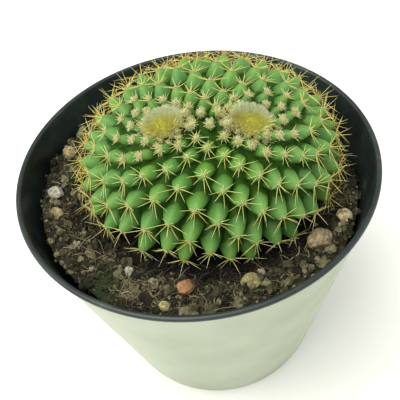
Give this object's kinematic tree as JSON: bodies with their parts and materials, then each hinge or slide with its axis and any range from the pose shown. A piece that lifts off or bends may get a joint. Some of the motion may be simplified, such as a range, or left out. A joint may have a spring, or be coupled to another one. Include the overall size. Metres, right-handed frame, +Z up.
{
  "type": "potted crested cactus",
  "caption": "Low dome-shaped crested mammillaria cactus with pointed tubercles, golden spines and woolly growing points, in gritty soil in a round tapered plastic pot.",
  "frame": {"origin": "centre of the pot's base, on the surface that it stands on", "axes": "+Z up along the pot's axis, -Y towards the front, the two woolly growing points spread along X"},
  "size_m": [0.1, 0.1, 0.1041],
  "materials": {
    "pot_plastic": "thermoformed two-colour plastic, dark inside and on the lip, pale mint outside",
    "potting_soil": "damp crumbly peat and bark potting mix with fibres",
    "cactus_skin": "smooth waxy green skin with golden spines",
    "growing_wool": "dense cream and yellow plant wool",
    "grit_stone": "rough pale grit and pumice"
  },
  "bodies": {
    "root": {"pot": "pot_plastic", "soil": "potting_soil", "plant": "cactus_skin", "wool_left": "growing_wool", "wool_right": "growing_wool", "pebble_01": "grit_stone", "pebble_02": "grit_stone", "pebble_03": "grit_stone", "pebble_04": "grit_stone", "pebble_05": "grit_stone", "pebble_06": "grit_stone", "pebble_07": "grit_stone", "pebble_08": "grit_stone", "pebble_09": "grit_stone", "pebble_10": "grit_stone", "pebble_11": "grit_stone"}
  },
  "joints": []
}
